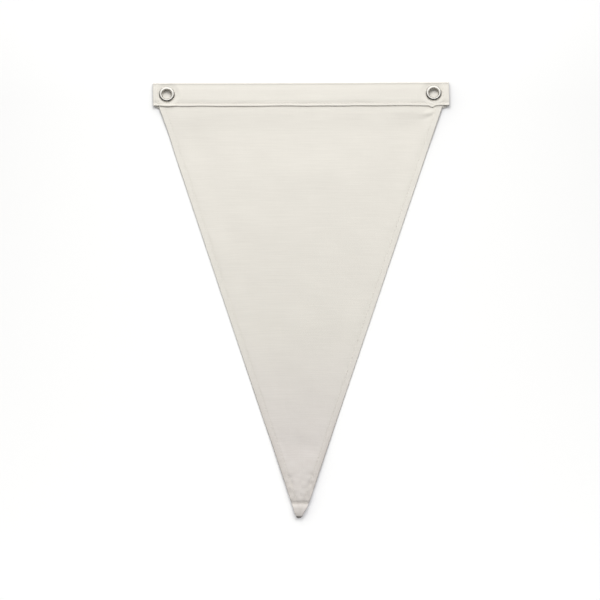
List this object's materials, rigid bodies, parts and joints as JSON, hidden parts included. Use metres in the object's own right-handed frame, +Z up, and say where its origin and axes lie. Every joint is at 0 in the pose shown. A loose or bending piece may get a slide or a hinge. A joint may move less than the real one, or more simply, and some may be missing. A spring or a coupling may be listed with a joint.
{
  "type": "pennant flag",
  "caption": "Long triangular canvas pennant with hemmed sides, a blunt folded tip and a folded heading strip with a metal eyelet near each end.",
  "frame": {"origin": "on the surface that the flag lies on, under the middle of its bounding box", "axes": "+Y from the tip to the heading, +X along the heading to the right as seen from the front, +Z up out of the front face"},
  "size_m": [0.3, 0.4386, 0.0068],
  "materials": {
    "panel_canvas": "natural plain-woven cotton canvas",
    "heading_canvas": "natural plain-woven cotton canvas, folded and pressed",
    "eyelet_nickel": "nickel-plated pressed brass",
    "washer_nickel": "nickel-plated pressed brass"
  },
  "bodies": {
    "root": {"pennant_panel": "panel_canvas", "heading_band": "heading_canvas", "eyelet_left": "eyelet_nickel", "eyelet_right": "eyelet_nickel", "washer_left": "washer_nickel", "washer_right": "washer_nickel"}
  },
  "joints": []
}
